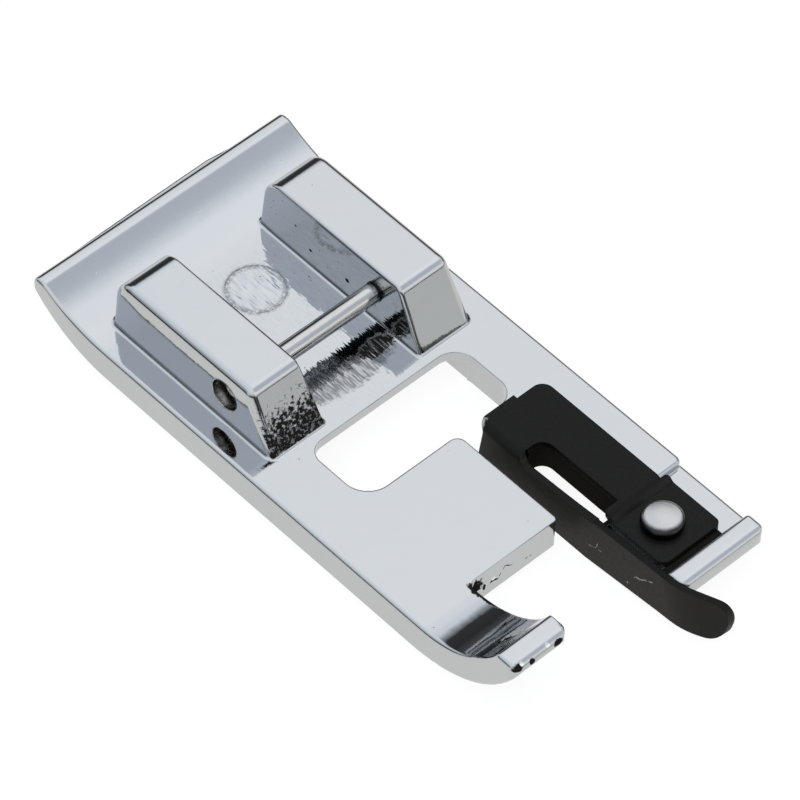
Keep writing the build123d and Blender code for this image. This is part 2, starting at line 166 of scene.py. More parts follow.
def scratch_group():
    """Hairline scratches: noise drawn out along one direction and cut to its thin crests."""
    inputs = [
        ("Vector", "NodeSocketVector", None),
        ("Angle", "NodeSocketFloat", 0.0),
        ("Length", "NodeSocketFloat", 2.0),
        ("Width", "NodeSocketFloat", 0.05),
        ("Amount", "NodeSocketFloat", 0.5),
    ]
    tree, given, put = new_group("fine_scratches", inputs, [("Mask", "NodeSocketFloat")])
    bend = noise(tree, given.outputs["Vector"], SCRATCH_BEND, detail=0.0)
    bent = vector_calc(tree, "ADD", given.outputs["Vector"], bend.outputs["Color"])
    links = {"Vector": bent, "Angle": given.outputs["Angle"]}
    turned = add_node(tree, "ShaderNodeVectorRotate", links, rotation_type="Z_AXIS")
    along = calc(tree, "DIVIDE", 1.0, given.outputs["Length"])
    over = calc(tree, "DIVIDE", 1.0, given.outputs["Width"])
    stretch = add_node(tree, "ShaderNodeCombineXYZ", {"X": along, "Y": over, "Z": along})
    drawn = vector_calc(tree, "MULTIPLY", turned.outputs[0], stretch.outputs[0])
    streaks = noise(tree, drawn, 1.0, detail=0.0)
    limit = calc(tree, "MULTIPLY_ADD", given.outputs["Amount"], CREST_CHANGE, CREST_LEVEL)
    upper = calc(tree, "ADD", limit, CREST_RIM)
    mask = fade(tree, streaks.outputs["Fac"], limit, upper)
    tree.links.new(mask, put.inputs["Mask"])
    return tree


def pit_group():
    """Scattered round pits: small discs at the points of a cell pattern, most cells left bare."""
    inputs = [
        ("Vector", "NodeSocketVector", None),
        ("Spacing", "NodeSocketFloat", 1.0),
        ("Radius", "NodeSocketFloat", 0.06),
        ("Share", "NodeSocketFloat", 0.3),
    ]
    tree, given, put = new_group("small_pits", inputs, [("Mask", "NodeSocketFloat")])
    scale = calc(tree, "DIVIDE", 1.0, given.outputs["Spacing"])
    cells = add_node(tree, "ShaderNodeTexVoronoi", {"Vector": given.outputs["Vector"], "Scale": scale})
    reach = calc(tree, "MULTIPLY", cells.outputs["Distance"], given.outputs["Spacing"])
    disc = fade(tree, reach, given.outputs["Radius"], 0.0)
    pick = add_node(tree, "ShaderNodeSeparateColor", {"Color": cells.outputs["Color"]})
    chosen = calc(tree, "LESS_THAN", pick.outputs[0], given.outputs["Share"])
    tree.links.new(calc(tree, "MULTIPLY", disc, chosen), put.inputs["Mask"])
    return tree


def edge_group():
    """Edge mask: how far the rounded normal turns away from the flat one."""
    inputs = [
        ("Rounded", "NodeSocketVector", None),
        ("Flat", "NodeSocketVector", None),
        ("Reach", "NodeSocketFloat", 0.2),
    ]
    tree, given, put = new_group("edge_wear", inputs, [("Mask", "NodeSocketFloat")])
    match = vector_calc(tree, "DOT_PRODUCT", given.outputs["Rounded"], given.outputs["Flat"], output=1)
    turn = calc(tree, "SUBTRACT", 1.0, match)
    tree.links.new(fade(tree, turn, 0.0, given.outputs["Reach"]), put.inputs["Mask"])
    return tree


def blob_group():
    """Round mask with a ragged rim: 1 inside an ellipsoid, 0 outside."""
    inputs = [
        ("Vector", "NodeSocketVector", None),
        ("Middle", "NodeSocketVector", None),
        ("Reach", "NodeSocketVector", None),
        ("Ragged", "NodeSocketFloat", 0.3),
    ]
    tree, given, put = new_group("ragged_blob", inputs, [("Mask", "NodeSocketFloat")])
    offset = vector_calc(tree, "SUBTRACT", given.outputs["Vector"], given.outputs["Middle"])
    share = vector_calc(tree, "DIVIDE", offset, given.outputs["Reach"])
    reach = add_node(tree, "ShaderNodeVectorMath", {0: share}, operation="LENGTH").outputs[1]
    rough = noise(tree, given.outputs["Vector"], BLOB_GRAIN, detail=2.0)
    wander = calc(tree, "SUBTRACT", rough.outputs["Fac"], 0.5)
    reach = calc(tree, "MULTIPLY_ADD", wander, given.outputs["Ragged"], reach)
    tree.links.new(fade(tree, reach, BLOB_OUTSIDE, BLOB_INSIDE), put.inputs["Mask"])
    return tree


def slab_group():
    """Box mask: 1 inside a box, 0 outside, with a narrow soft rim."""
    inputs = [
        ("Vector", "NodeSocketVector", None),
        ("Middle", "NodeSocketVector", None),
        ("Half", "NodeSocketVector", None),
    ]
    tree, given, put = new_group("box_mask", inputs, [("Mask", "NodeSocketFloat")])
    offset = vector_calc(tree, "SUBTRACT", given.outputs["Vector"], given.outputs["Middle"])
    size = add_node(tree, "ShaderNodeVectorMath", {0: offset}, operation="ABSOLUTE").outputs[0]
    past = vector_calc(tree, "SUBTRACT", size, given.outputs["Half"])
    parts = add_node(tree, "ShaderNodeSeparateXYZ", {0: past})
    worst = calc(tree, "MAXIMUM", parts.outputs["X"], parts.outputs["Y"])
    worst = calc(tree, "MAXIMUM", worst, parts.outputs["Z"])
    tree.links.new(fade(tree, worst, SLAB_RIM, -SLAB_RIM), put.inputs["Mask"])
    return tree


def stroke_group():
    """Single scratch: mask along the straight line between two points."""
    inputs = [
        ("Vector", "NodeSocketVector", None),
        ("From", "NodeSocketVector", None),
        ("To", "NodeSocketVector", None),
        ("Width", "NodeSocketFloat", 0.05),
    ]
    tree, given, put = new_group("single_scratch", inputs, [("Mask", "NodeSocketFloat")])
    wander = noise(tree, given.outputs["Vector"], WANDER_GRAIN, detail=1.0)
    shift = vector_calc(tree, "SUBTRACT", wander.outputs["Color"], MIDDLE_GREY)
    place = vector_calc(tree, "ADD", given.outputs["Vector"], scaled(tree, shift, WANDER))
    run = vector_calc(tree, "SUBTRACT", given.outputs["To"], given.outputs["From"])
    offset = vector_calc(tree, "SUBTRACT", place, given.outputs["From"])
    along = vector_calc(tree, "DOT_PRODUCT", offset, run, output=1)
    length = vector_calc(tree, "DOT_PRODUCT", run, run, output=1)
    share = calc(tree, "DIVIDE", along, length, clamp=True)
    nearest = vector_calc(tree, "ADD", given.outputs["From"], scaled(tree, run, share))
    gap = vector_calc(tree, "DISTANCE", place, nearest, output=1)
    inner = calc(tree, "MULTIPLY", given.outputs["Width"], STROKE_CORE)
    tree.links.new(fade(tree, gap, given.outputs["Width"], inner), put.inputs["Mask"])
    return tree


def brush_group():
    """Tilt of the normal and depth of polishing strokes that run from the back to the front."""
    inputs = [("Vector", "NodeSocketVector", None), ("Amount", "NodeSocketFloat", 0.1)]
    outputs = [("Tilt", "NodeSocketVector"), ("Depth", "NodeSocketFloat")]
    tree, given, put = new_group("polishing_strokes", inputs, outputs)
    drawn = vector_calc(tree, "MULTIPLY", given.outputs["Vector"], BRUSH_GRAIN)
    strokes = noise(tree, drawn, 1.0, detail=2.0)
    tree.links.new(strokes.outputs["Fac"], put.inputs["Depth"])
    lean = vector_calc(tree, "SUBTRACT", strokes.outputs["Color"], MIDDLE_GREY)
    lean = vector_calc(tree, "MULTIPLY", lean, BRUSH_LEAN)
    tree.links.new(scaled(tree, lean, given.outputs["Amount"]), put.inputs["Tilt"])
    return tree


EFFECT_MAKERS = {
    "ripple": ripple_group,
    "scratch": scratch_group,
    "pit": pit_group,
    "edge": edge_group,
    "blob": blob_group,
    "slab": slab_group,
    "stroke": stroke_group,
    "brush": brush_group,
}
effects = {}


def effect(name):
    """The shared node group of that name, built the first time it is asked for."""
    if name not in effects:
        effects[name] = EFFECT_MAKERS[name]()
    return effects[name]


def new_material(name, metallic, specular=0.5):
    """An empty material with its Principled shader."""
    made = bpy.data.materials.new(name)
    made.use_nodes = True
    tree = made.node_tree
    tree.nodes.clear()
    links = {"Metallic": metallic, "Specular IOR Level": specular}
    shader = add_node(tree, "ShaderNodeBsdfPrincipled", links)
    output = tree.nodes.new("ShaderNodeOutputMaterial")
    tree.links.new(shader.outputs[0], output.inputs["Surface"])
    return made, tree, shader


def dress(node_name, material):
    """Gives a CAD node its material."""
    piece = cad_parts[node_name]
    piece.data.materials.clear()
    piece.data.materials.append(material)


def add_bump(tree, shader, height, normal, relief):
    """Relief of a surface, so many millimetres deep, on top of a normal."""
    links = {"Strength": 1.0, "Distance": relief * MM, "Height": height, "Normal": normal}
    bump = add_node(tree, "ShaderNodeBump", links)
    tree.links.new(bump.outputs[0], shader.inputs["Normal"])


def marks_of(tree, place, blobs=(), slabs=(), strokes=()):
    """One mask from lists of ragged blobs, boxes and single scratches, all in millimetres."""
    total = 0.0
    for kind, rows, keys in (
        ("blob", blobs, ("Middle", "Reach", "Ragged")),
        ("slab", slabs, ("Middle", "Half")),
        ("stroke", strokes, ("From", "To", "Width")),
    ):
        for row in rows:
            mark = use_group(tree, effect(kind), {"Vector": place, **dict(zip(keys, row))})
            total = calc(tree, "MAXIMUM", mark.outputs[0], total)
    return total


# Settings that a user would change


class FootFinish(bpy.types.PropertyGroup):
    """Colours and surface of the plated casting, the pin and the rivet."""

    plating: bpy.props.FloatVectorProperty(
        name="Plating", description="Colour of the bright plating", default=(0.54, 0.56, 0.583),
        size=3, subtype="COLOR"
    )
    plating_roughness: bpy.props.FloatProperty(
        name="Plating roughness", description="Roughness of the plating where it is clean",
        default=0.045, min=0, max=1
    )
    edge_round: bpy.props.FloatProperty(
        name="Edge rounding", description="Radius of the softened casting edges in millimetres",
        default=0.14, min=0.01
    )
    strokes: bpy.props.FloatProperty(
        name="Polishing strokes", description="Tilt of the surface by polishing strokes",
        default=0.25, min=0, max=1
    )
    pin_steel: bpy.props.FloatVectorProperty(
        name="Pin steel", description="Colour of the cross pin", default=(0.55, 0.55, 0.55),
        size=3, subtype="COLOR"
    )
    rivet_steel: bpy.props.FloatVectorProperty(
        name="Rivet steel", description="Colour of the rivet", default=(0.52, 0.52, 0.53),
        size=3, subtype="COLOR"
    )


class GuideFinish(bpy.types.PropertyGroup):
    """Colours and surface of the folded edge guide."""

    black: bpy.props.FloatVectorProperty(
        name="Black finish", description="Colour of the black finish", default=(0.008, 0.0078, 0.0072),
        size=3, subtype="COLOR"
    )
    scratch: bpy.props.FloatVectorProperty(
        name="Bare scratch", description="Colour where the finish is scratched through",
        default=(0.3, 0.29, 0.28), size=3, subtype="COLOR"
    )
    roughness: bpy.props.FloatProperty(
        name="Black roughness", description="Roughness of the black finish", default=0.42, min=0, max=1
    )


class StudioSettings(bpy.types.PropertyGroup):
    """Floor, soft light and camera."""

    floor_glow: bpy.props.FloatProperty(
        name="Floor glow", description="Light that the floor sheet gives by itself", default=0.9, min=0
    )
    floor_albedo: bpy.props.FloatProperty(
        name="Floor albedo", description="Share of light that the floor scatters back",
        default=0.12, min=0, max=1
    )
    camera_lens: bpy.props.FloatProperty(
        name="Camera lens", description="Focal length of the camera in millimetres",
        default=276.45, min=1
    )
    camera_place: bpy.props.FloatVectorProperty(
        name="Camera place", description="Where the camera stands",
        default=(-0.14968, -0.15913, 0.26438), size=3, subtype="TRANSLATION", unit="LENGTH", precision=5
    )
    camera_azimuth: bpy.props.FloatProperty(
        name="Camera azimuth", description="Turn of the camera about the upright axis",
        default=math.radians(-44.37), subtype="ANGLE", unit="ROTATION"
    )
    camera_elevation: bpy.props.FloatProperty(
        name="Camera elevation", description="Height of the camera above the horizon",
        default=math.radians(50.65), subtype="ANGLE", unit="ROTATION"
    )
    camera_roll: bpy.props.FloatProperty(
        name="Camera roll", description="Roll of the camera about its own axis",
        default=math.radians(1.9), subtype="ANGLE", unit="ROTATION"
    )


# Finishes of the four pieces. Marks are given in millimetres: a blob by its middle, its reach and how
# ragged it is, a box by its middle and half size, a scratch by its two ends and its width.


# Tones of the marks, painted shade, painted dark reflections and painted highlights among them
DIRT_AND_SHADE_TONE = (0.015, 0.014, 0.013, 1)
PIN_REFLECTION_TONE = (0.1, 0.105, 0.12, 1)
HIGHLIGHT_TONE = (0.85, 0.85, 0.85, 1)
BRONZE_DARK = (0.07, 0.06, 0.045, 1)
BRONZE_PALE = (0.5, 0.45, 0.36, 1)
SHADE_TONE = (0.02, 0.02, 0.02, 1)
SHOULDER_REFLECTION_TONE = (0.04, 0.04, 0.04, 1)
SLOT_SHADE_TONE = (0.001, 0.001, 0.001, 1)
BARE_STEEL = (0.4, 0.41, 0.42, 1)

# Dark spots painted on the casting: three on the toe tip as painted dark reflections, four as painted shade
# in the hollow where the toe leaves the tongue, and five dark spots on the posts
SHADE_AND_DARK_SPOTS = (
    ((-8.97, -24.75, 5.3), (0.36, 0.35, 0.22), 0.5),
    ((-8.02, -24.95, 5.2), (0.2, 0.3, 0.2), 0.5),
    ((-6.12, -24.95, 5.2), (0.34, 0.3, 0.2), 0.6),
    ((-4.72, -17.38, 1.35), (0.48, 0.2, 0.55), 1.8),
    ((-4.1, -17.3, 0.85), (0.12, 0.2, 0.3), 1.2),
    ((-5.3, -17.9, 2.2), (0.3, 0.6, 0.4), 0.9),
    ((-5.36, -18.9, 2.25), (0.17, 0.9, 0.4), 0.8),
    ((3.62, 2.11, 3.42), (0.12, 0.16, 0.14), 0.5),
    ((3.62, 5.14, 3.37), (0.08, 0.12, 0.1), 0.5),
    ((3.62, 6.47, 4.32), (0.08, 0.1, 0.1), 0.5),
    ((-7.34, -3.85, 2.4), (0.2, 0.2, 0.2), 0.5),
    ((7.5, -3.75, 2.45), (0.13, 0.14, 0.3), 0.5),
)
# Painted highlights: two on the toe tip and one on the front of the tongue
PAINTED_HIGHLIGHTS = (
    ((-8.66, -24.8, 5.42), (0.12, 0.2, 0.12), 0.3),
    ((-6.79, -24.8, 5.42), (0.14, 0.2, 0.12), 0.3),
    ((-3.4, -17.3, 1.0), (0.14, 0.1, 0.12), 0.4),
)
# Hairlines on the front of the tongue
HAIRLINES = (
    ((-3.6, -17.3, 0.86), (-3.1, -17.3, 0.74), 0.11),
    ((-2.95, -17.3, 0.9), (-2.57, -17.3, 1.38), 0.045),
    ((-2.57, -17.3, 1.38), (-1.9, -17.3, 1.0), 0.055),
    ((-1.0, -17.3, 0.7), (-0.9, -17.3, 0.7), 0.08),
    ((-0.62, -17.3, 0.66), (-0.5, -17.3, 0.7), 0.06),
)
# Walls that only mirror the black guide, painted dark as that reflection: the notch under its slot and the
# groove before its tab
SHADED = (
    ((3.9, -15.78, 1.0), (1.25, 3.4, 1.17)),
    ((5.3, -23.7, 1.95), (2.3, 0.38, 0.36)),
)
# The lips of the toe and the rail, which are rounded more fully than the other edges
FULL_ROUND = (
    ((-7.2, -24.8, 5.3), (2.4, 0.9, 1.0), 0.0),
    ((5.5, -25.0, 1.9), (4.2, 1.0, 1.4), 0.0),
)
FULL_ROUND_EXTRA = 0.2

# Where the strokes, the dirt, the painted shade and the painted dark reflections of the casting lie
FLOOR_BETWEEN_POSTS = (((0.1, 2.6, 2.2), (3.8, 7.0, 0.6), 0.1),)
ROUND_MARK = (((0.1, 5.8, 2.2), (1.75, 1.75, 0.5), 0.1),)
ROUND_MARK_INSIDE = (((0.1, 5.8, 2.2), (1.6, 1.6, 0.5), 0.1),)
POST_FRONT = (((-5.5, -3.2, 3.7), (1.9, 1.3, 1.42)),)
RIGHT_POST_WALL = (((3.7, 3.8, 4.3), (0.3, 5.2, 2.0)),)
# Painted dark reflection of the pin on the floor in front of it, and its black core
PIN_REFLECTION = (((-0.3, -1.9, 2.2), (3.4, 1.3, 0.5), 0.6),)
PIN_REFLECTION_CORE = (((2.3, -1.75, 2.2), (1.2, 0.65, 0.5), 1.0),)
LEFT_BORE = (((-7.2, 0, 4.26), (2.0, 1.0, 1.0), 0.1),)

# Strength of the polishing strokes, as shares of the setting: everywhere, between the posts, in the mark
STROKES_EVERYWHERE = 0.1
STROKES_ON_FLOOR = 0.8
STROKES_IN_MARK = 2.2
# Mottle: the noise level that counts as painted dark reflection on the post's front rises with the height in
# millimetres, with a soft rim
MOTTLE_HEIGHTS = (3.3, 5.2)
MOTTLE_LEVELS = (0.43, 0.66)
MOTTLE_RIM = (-0.08, 0.06)
# Stroke depths between which the painted reflection of the pin and its core come up, and that reflection's
# least strength and its rise
PIN_REFLECTION_BREAKS = (0.4, 0.56)
PIN_REFLECTION_CORE_BREAKS = (0.3, 0.5)
PIN_REFLECTION_LEAST, PIN_REFLECTION_RISE = 0.25, 0.5
# Noise levels between which the dirty ring round the mark and the pale part of the tarnish come up
RING_BREAKS = (0.35, 0.6)
TARNISH_BREAKS = (0.45, 0.62)
# Strength of the specks on the right post, and depth of the pits as a share of the relief
SPECK_STRENGTH = 0.6
PIT_DEPTH = -0.9
# Roughness that dirt, painted shade and tarnish add
DIRT_AND_SHADE_ROUGHNESS = 0.3


def polishing(tree, place, finish, disc):
    """The polishing strokes of the casting, strongest inside the round mark."""
    floor = marks_of(tree, place, blobs=FLOOR_BETWEEN_POSTS)
    everywhere = finish.strokes * STROKES_EVERYWHERE
    amount = calc(tree, "MULTIPLY_ADD", floor, finish.strokes * STROKES_ON_FLOOR, everywhere)
    amount = calc(tree, "MULTIPLY_ADD", disc, finish.strokes * STROKES_IN_MARK, amount)
    return use_group(tree, effect("brush"), {"Vector": place, "Amount": amount})


def mottled_front_reflection(tree, place, mottle):
    """Painted dark reflection on the lower front of the left post, mottled: sparse spots above, almost
    closed below.
    """
    rise = add_node(tree, "ShaderNodeSeparateXYZ", {0: place}).outputs["Z"]
    limit = fade(tree, rise, *MOTTLE_HEIGHTS, *MOTTLE_LEVELS)
    spots = fade(tree, calc(tree, "SUBTRACT", mottle, limit), *MOTTLE_RIM)
    return calc(tree, "MULTIPLY", spots, marks_of(tree, place, slabs=POST_FRONT))


def pin_reflection_masks(tree, place, depth):
    """Painted dark reflection of the pin on the floor in front of it and its black core, both broken up by
    the strokes.
    """
    broken = calc(tree, "MULTIPLY_ADD", fade(tree, depth, *PIN_REFLECTION_BREAKS), PIN_REFLECTION_RISE, PIN_REFLECTION_LEAST)
    pin_reflection = calc(tree, "MULTIPLY", marks_of(tree, place, blobs=PIN_REFLECTION), broken)
    core = calc(tree, "MULTIPLY", marks_of(tree, place, blobs=PIN_REFLECTION_CORE), fade(tree, depth, *PIN_REFLECTION_CORE_BREAKS))
    return pin_reflection, core


def wall_specks(tree, place):
    """Fine specks on the wall of the right post."""
    specks = use_group(tree, effect("pit"), {"Vector": place, "Spacing": 0.45, "Radius": 0.09, "Share": 0.3})
    wall = marks_of(tree, place, slabs=RIGHT_POST_WALL)
    return calc(tree, "MULTIPLY", calc(tree, "MULTIPLY", specks.outputs[0], wall), SPECK_STRENGTH)


def make_plating(finish):
    """Bright plating over a slightly uneven casting, with the marks that the photograph shows."""
    material, tree, shader = new_material("bright_plating", 1.0, specular=0.0)
    place = millimetres(tree)

    # Surface: rounded edges, polishing strokes, slow waves and small pits
    lips = marks_of(tree, place, blobs=FULL_ROUND)
    radius = calc(tree, "MULTIPLY_ADD", lips, FULL_ROUND_EXTRA * MM, finish.edge_round * MM)
    rounded = add_node(tree, "ShaderNodeBevel", {"Radius": radius}, samples=8)
    disc = marks_of(tree, place, blobs=ROUND_MARK)
    strokes = polishing(tree, place, finish, disc)
    normal = vector_calc(tree, "ADD", rounded.outputs[0], strokes.outputs["Tilt"])
    normal = vector_calc(tree, "NORMALIZE", normal)
    ripple = use_group(tree, effect("ripple"), {"Vector": place, "Scale": 0.5, "Fine": 0.14})
    pits = use_group(tree, effect("pit"), {"Vector": place, "Spacing": 0.9, "Radius": 0.07, "Share": 0.35})
    height = calc(tree, "MULTIPLY_ADD", pits.outputs[0], PIT_DEPTH, ripple.outputs[0])
    add_bump(tree, shader, height, normal, relief=0.012)

    # Dirt and painted shade: everything dark in one mask, real marks together with painted shade and painted
    # dark reflections
    mottle = noise(tree, place, scale=4.5, detail=4.0, roughness=0.65).outputs["Fac"]
    pin_reflection, core = pin_reflection_masks(tree, place, strokes.outputs["Depth"])
    ring = calc(tree, "SUBTRACT", disc, marks_of(tree, place, blobs=ROUND_MARK_INSIDE), clamp=True)
    ring = calc(tree, "MULTIPLY", ring, fade(tree, mottle, *RING_BREAKS))
    dirt_and_shade = marks_of(tree, place, SHADE_AND_DARK_SPOTS, SHADED, HAIRLINES)
    for more in (mottled_front_reflection(tree, place, mottle), core, ring, wall_specks(tree, place)):
        dirt_and_shade = calc(tree, "MAXIMUM", dirt_and_shade, more)

    # Brown tarnish inside the bore of the left post
    bore = marks_of(tree, place, blobs=LEFT_BORE)
    sheen = noise(tree, place, scale=2.5, detail=2.0).outputs["Fac"]
    bronze = blend(tree, fade(tree, sheen, *TARNISH_BREAKS), BRONZE_DARK, BRONZE_PALE)

    # Colour: painted dark reflection of the pin, dirt with painted shade and painted dark reflections,
    # painted highlights, then the tarnish of the bore
    colour = blend(tree, pin_reflection, (*finish.plating, 1.0), PIN_REFLECTION_TONE)
    colour = blend(tree, dirt_and_shade, colour, DIRT_AND_SHADE_TONE)
    colour = blend(tree, marks_of(tree, place, blobs=PAINTED_HIGHLIGHTS), colour, HIGHLIGHT_TONE)
    colour = blend(tree, bore, colour, bronze)
    tree.links.new(colour, shader.inputs["Base Color"])
    rough = calc(tree, "MULTIPLY_ADD", dirt_and_shade, DIRT_AND_SHADE_ROUGHNESS, finish.plating_roughness)
    rough = calc(tree, "MULTIPLY_ADD", bore, DIRT_AND_SHADE_ROUGHNESS, rough)
    tree.links.new(rough, shader.inputs["Roughness"])
    tree.links.new(calc(tree, "SUBTRACT", 1.0, dirt_and_shade), shader.inputs["Metallic"])
    return material


# Painted shade on the underside of the pin and at its end in the right post
PIN_SHADED = (
    ((2.6, 0, 3.3), (2.2, 1.2, 0.62), 0.2),
    ((4.0, 0, 4.3), (0.8, 0.9, 0.8), 0.5),
)
# Bright middle of the rivet's head; outside it the shoulder is painted dark as a painted dark reflection,
# most of all towards the front left
RIVET_CORE = (((5.52, -21.19, 2.7), (1.08, 1.08, 1.3), 0.08),)
STEEL_EDGE_ROUND = 0.1
# Fine marks on steel: their depth as a share of the relief, the share of the tone that they leave, and the
# roughness that they add
MARK_DEPTH = -0.05
MARK_TONE = 0.85
MARK_ROUGHNESS = 0.15


def make_steel(name, colour, roughness, angle, shaded=(), core=()):
    """Steel with fine marks along one direction; shaded blobs get painted shade, and all that a core leaves
    out gets a painted dark reflection.
    """
    material, tree, shader = new_material(name, 1.0)
    place = millimetres(tree)
    rounded = add_node(tree, "ShaderNodeBevel", {"Radius": STEEL_EDGE_ROUND * MM}, samples=6)
    ripple = use_group(tree, effect("ripple"), {"Vector": place, "Scale": 1.2, "Fine": 0.2})
    links = {"Vector": place, "Angle": angle, "Length": 2.5, "Width": 0.06, "Amount": 0.4}
    marks = use_group(tree, effect("scratch"), links).outputs[0]
    height = calc(tree, "MULTIPLY_ADD", marks, MARK_DEPTH, ripple.outputs[0])
    add_bump(tree, shader, height, rounded.outputs[0], relief=0.01)
    dull = tuple(MARK_TONE * part for part in colour)
    tone = blend(tree, marks, (*colour, 1.0), (*dull, 1.0))
    tone = blend(tree, marks_of(tree, place, blobs=shaded), tone, SHADE_TONE)
    if core:
        # Painted dark reflection on the shoulder, outside the bright core
        rim = calc(tree, "SUBTRACT", 1.0, marks_of(tree, place, blobs=core))
        tone = blend(tree, rim, tone, SHOULDER_REFLECTION_TONE)
    tree.links.new(tone, shader.inputs["Base Color"])
    rough = calc(tree, "MULTIPLY_ADD", marks, MARK_ROUGHNESS, roughness)
    tree.links.new(rough, shader.inputs["Roughness"])
    return material


# Scratches on the guide's wall, given by their place along the wall and their height
WALL_SCRATCHES = (
    ((0, -18.61, 0.5), (0, -19.39, 0.76), 0.05),
    ((0, -19.39, 0.76), (0, -20.04, 0.76), 0.04),
    ((0, -19.4, 1.25), (0, -19.39, 0.76), 0.04),
    ((0, -22.3, 0.9), (0, -23.53, 1.6), 0.055),
    ((0, -21.93, 0.24), (0, -21.95, 0.3), 0.06),
)
# Bare steel at the rear edge of the guide's wall, and the walls of its slot, painted near black as shade
WORN_END = (((2.68, -9.8, 1.7), (0.55, 0.27, 1.1), 0.9),)
SLOT_WALLS = (((4.02, -15.8, 2.25), (0.97, 3.22, 0.37)),)
GUIDE_EDGE_ROUND = 0.09
# Tone of rubbed edges, and painted shade of upward faces, as shares of the finish
RUBBED, UPWARD_SHADE = 1.7, 0.5
# Noise levels between which a rubbed edge shows, and the upward part of a normal that counts
WEAR_BREAKS = (0.4, 0.7)
UPWARD = (0.5, 0.9)
# Grain as a share of the relief, strength of the bare scratches, the mirror-like part of upward faces and
# the roughness that the slot adds
GRAIN_DEPTH = 0.5
SCRATCH_STRENGTH = 0.8
UPWARD_METAL = 0.3
SLOT_ROUGHNESS = 0.3
# Grain levels between which the roughness goes from a little below its setting to a little above
ROUGHNESS_BREAKS = (0.3, 0.7)
SMOOTHER, ROUGHER = 0.05, 0.08


def make_black(finish):
    """Satin black finish on stamped steel, with rubbed edges, scratches on the wall and a worn rear edge."""
    material, tree, shader = new_material("satin_black", 0.0, specular=0.25)
    place = millimetres(tree)
    rounded = add_node(tree, "ShaderNodeBevel", {"Radius": GUIDE_EDGE_ROUND * MM}, samples=6)
    flat = add_node(tree, "ShaderNodeNewGeometry").outputs["Normal"]
    edges = use_group(tree, effect("edge"), {"Rounded": rounded.outputs[0], "Flat": flat, "Reach": 0.25})
    ripple = use_group(tree, effect("ripple"), {"Vector": place, "Scale": 1.5, "Fine": 0.5})
    grain = noise(tree, place, scale=9.0, detail=2.0).outputs["Fac"]
    height = calc(tree, "MULTIPLY_ADD", grain, GRAIN_DEPTH, ripple.outputs[0])
    add_bump(tree, shader, height, rounded.outputs[0], relief=0.012)

    # Tones: rubbed edges, painted shade on upward faces, painted near-black shade in the slot, bare
    # scratches and the worn rear edge
    rubbed = tuple(RUBBED * part for part in finish.black)
    wear = calc(tree, "MULTIPLY", edges.outputs[0], fade(tree, grain, *WEAR_BREAKS))
    tone = blend(tree, wear, (*finish.black, 1.0), (*rubbed, 1.0))
    # Upward faces painted darker, as painted shade
    upward = fade(tree, add_node(tree, "ShaderNodeSeparateXYZ", {0: flat}).outputs["Z"], *UPWARD)
    upward_shade = tuple(UPWARD_SHADE * part for part in finish.black)
    tone = blend(tree, upward, tone, (*upward_shade, 1.0))
    # Slot walls painted near black, as painted shade
    slot = marks_of(tree, place, slabs=SLOT_WALLS)
    tone = blend(tree, slot, tone, SLOT_SHADE_TONE)
    along = vector_calc(tree, "MULTIPLY", place, (0, 1, 1))
    bare = calc(tree, "MULTIPLY", marks_of(tree, along, strokes=WALL_SCRATCHES), SCRATCH_STRENGTH)
    tone = blend(tree, bare, tone, (*finish.scratch, 1.0))
    tone = blend(tree, marks_of(tree, place, blobs=WORN_END), tone, BARE_STEEL)
    tree.links.new(tone, shader.inputs["Base Color"])

    metal = calc(tree, "MAXIMUM", calc(tree, "MULTIPLY", upward, UPWARD_METAL), slot)
    tree.links.new(metal, shader.inputs["Metallic"])
    low, high = finish.roughness - SMOOTHER, finish.roughness + ROUGHER
    rough = fade(tree, grain, *ROUGHNESS_BREAKS, low, high)
    rough = calc(tree, "MULTIPLY_ADD", slot, SLOT_ROUGHNESS, rough)
    tree.links.new(rough, shader.inputs["Roughness"])
    return material


# Stage


# Brightest light of the room; colour ramps stop at 1, so they hold shares of it
LIFT = 1.3

# Sides of the tent: compass aim, half width and soft rim in degrees, tint, and the light at each height,
# from 0 at the horizon to 1 straight up. Compass 0 is the back, 90 the right.
SIDES = (
    (
        29, 20, 14, (0.96, 1.0, 1.05),
        (
            (0, 0.16), (0.12, 0.09), (0.3, 0.04), (0.5, 0.05), (0.58, 0.5), (0.64, 1.0), (0.78, 1.12),
            (1, 1.05),
        ),
    ),
    (
        62, 16, 14, (0.99, 1.0, 1.01),
        ((0, 0.1), (0.3, 0.06), (0.45, 0.2), (0.58, 0.95), (0.72, 1.16), (0.87, 1.26), (1, 1.1)),
    ),
    (
        95, 14, 14, (0.98, 1.0, 1.02),
        ((0, 0.1), (0.25, 0.1), (0.5, 0.6), (0.7, 1.05), (0.87, 1.28), (1, 1.1)),
    ),
    (
        150, 22, 16, (1.0, 1.0, 0.98),
        (
            (0, 0.04), (0.04, 0.08), (0.09, 0.8), (0.25, 1.1), (0.45, 1.22), (0.6, 1.15), (0.75, 1.05),
            (0.87, 1.15), (1, 1.1),
        ),
    ),
    (
        215, 25, 16, (0.98, 1.0, 1.0),
        ((0, 0.04), (0.15, 0.06), (0.3, 0.4), (0.5, 0.9), (0.7, 1.0), (1, 1.1)),
    ),
    (
        -57, 21, 12, (0.94, 1.0, 1.07),
        ((0, 0.03), (0.22, 0.05), (0.36, 0.42), (0.5, 0.5), (0.62, 0.7), (0.74, 0.9), (0.85, 1.0), (1, 1.1)),
    ),
)
# The tent between those sides
OPEN_TINT = (0.97, 1.0, 1.03)
OPEN_STOPS = ((0, 0.12), (0.08, 0.3), (0.25, 0.7), (0.5, 0.85), (0.75, 1.0), (1, 1.1))
